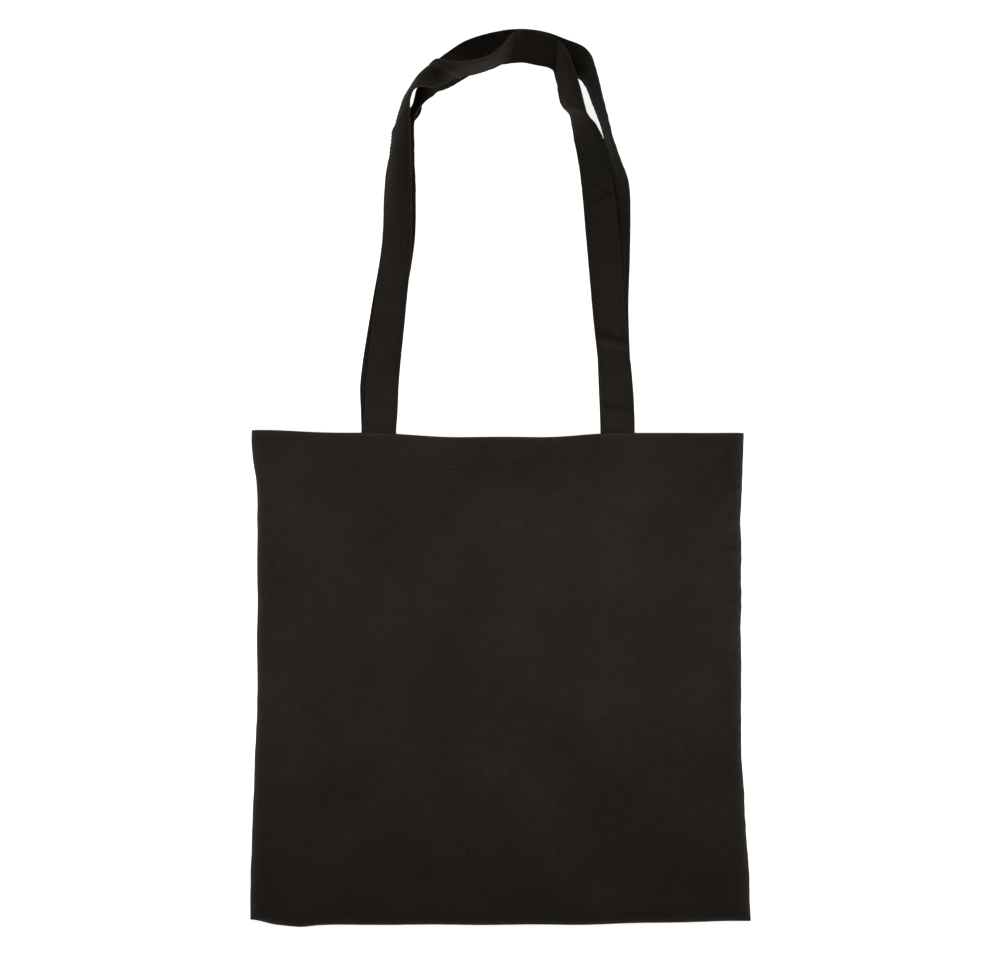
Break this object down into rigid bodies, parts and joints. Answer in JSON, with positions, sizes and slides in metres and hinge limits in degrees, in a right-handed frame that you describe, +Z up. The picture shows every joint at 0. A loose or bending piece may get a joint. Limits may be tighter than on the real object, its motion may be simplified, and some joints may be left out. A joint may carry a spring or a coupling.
{
  "type": "canvas tote bag",
  "caption": "Flat rectangular cotton canvas tote bag with a hemmed open mouth and two long sewn-on shoulder straps, lying on its back.",
  "frame": {"origin": "under the middle of the whole outline, on the surface that the bag's back lies on", "axes": "+X across the bag to its right seam, +Y from the bottom seam towards the handles, +Z up through the layers from the back panel to the front panel"},
  "size_m": [0.387, 0.696, 0.0312],
  "materials": {
    "canvas": "matte plain-weave cotton canvas, warm black",
    "strap": "matte folded canvas strap, warm black, edge stitched",
    "thread": "black spun sewing thread"
  },
  "bodies": {
    "back": {"back_panel": "canvas", "back_hem": "canvas", "back_hem_stitching": "thread", "left_seam_allowance": "canvas", "left_overlock_thread": "thread", "right_seam_allowance": "canvas", "right_overlock_thread": "thread", "bottom_seam_allowance": "canvas", "bottom_overlock_thread": "thread", "back_left_handle_tail": "strap", "back_left_tail_stitching": "thread", "back_right_handle_tail": "strap", "back_right_tail_stitching": "thread"},
    "front": {"front_panel": "canvas", "front_hem": "canvas", "front_hem_stitching": "thread", "front_left_handle_tail": "strap", "front_left_tail_stitching": "thread", "front_right_handle_tail": "strap", "front_right_tail_stitching": "thread"},
    "front_handle": {"front_handle_strap": "strap", "front_handle_outer_stitching": "thread", "front_handle_inner_stitching": "thread"},
    "back_handle": {"back_handle_strap": "strap", "back_handle_outer_stitching": "thread", "back_handle_inner_stitching": "thread"}
  },
  "joints": [
    {"name": "mouth_opening", "type": "hinge", "parent": "back", "child": "front", "pos_m": [0, -0.3485, 0.0008], "axis": [1, 0, 0], "range_deg": [0, 5.5]},
    {"name": "front_handle_swing", "type": "hinge", "parent": "front", "child": "front_handle", "pos_m": [0, 0.0346, 0.0114], "axis": [1, 0, 0], "range_deg": [0, 175]},
    {"name": "back_handle_swing", "type": "hinge", "parent": "back", "child": "back_handle", "pos_m": [0, 0.0346, -0.0004], "axis": [1, 0, 0], "range_deg": [-175, 0]}
  ]
}
